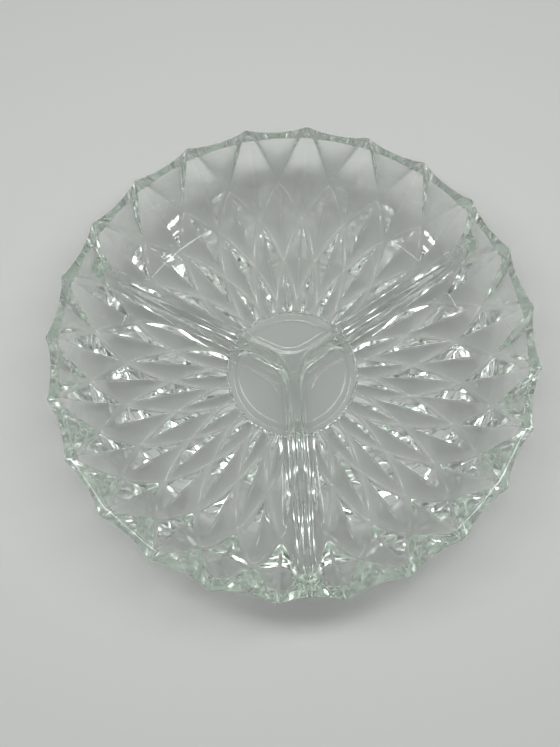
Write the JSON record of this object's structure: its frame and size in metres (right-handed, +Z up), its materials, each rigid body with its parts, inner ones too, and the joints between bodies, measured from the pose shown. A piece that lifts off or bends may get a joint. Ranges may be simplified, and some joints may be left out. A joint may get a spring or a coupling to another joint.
{
  "type": "divided relish dish",
  "caption": "Round pressed-glass appetizer dish with a scalloped rim, diamond-cut outside, smooth inside and radial dividers between its compartments.",
  "frame": {"origin": "centre of the underside of the foot", "axes": "+Z up along the axis of the dish, -Y along the front divider, scallop points at odd multiples of half a scallop from +X"},
  "size_m": [0.228, 0.228, 0.0405],
  "materials": {
    "clear_glass": "polished pressed glass with a faint green-grey tint"
  },
  "bodies": {
    "root": {"foot_ring": "clear_glass", "base_disc": "clear_glass", "floor_back": "clear_glass", "floor_left": "clear_glass", "floor_right": "clear_glass", "wall_back": "clear_glass", "wall_left": "clear_glass", "wall_right": "clear_glass", "rim_back": "clear_glass", "rim_left": "clear_glass", "rim_right": "clear_glass", "divider_front": "clear_glass", "divider_left": "clear_glass", "divider_right": "clear_glass", "divider_hub": "clear_glass"}
  },
  "joints": []
}
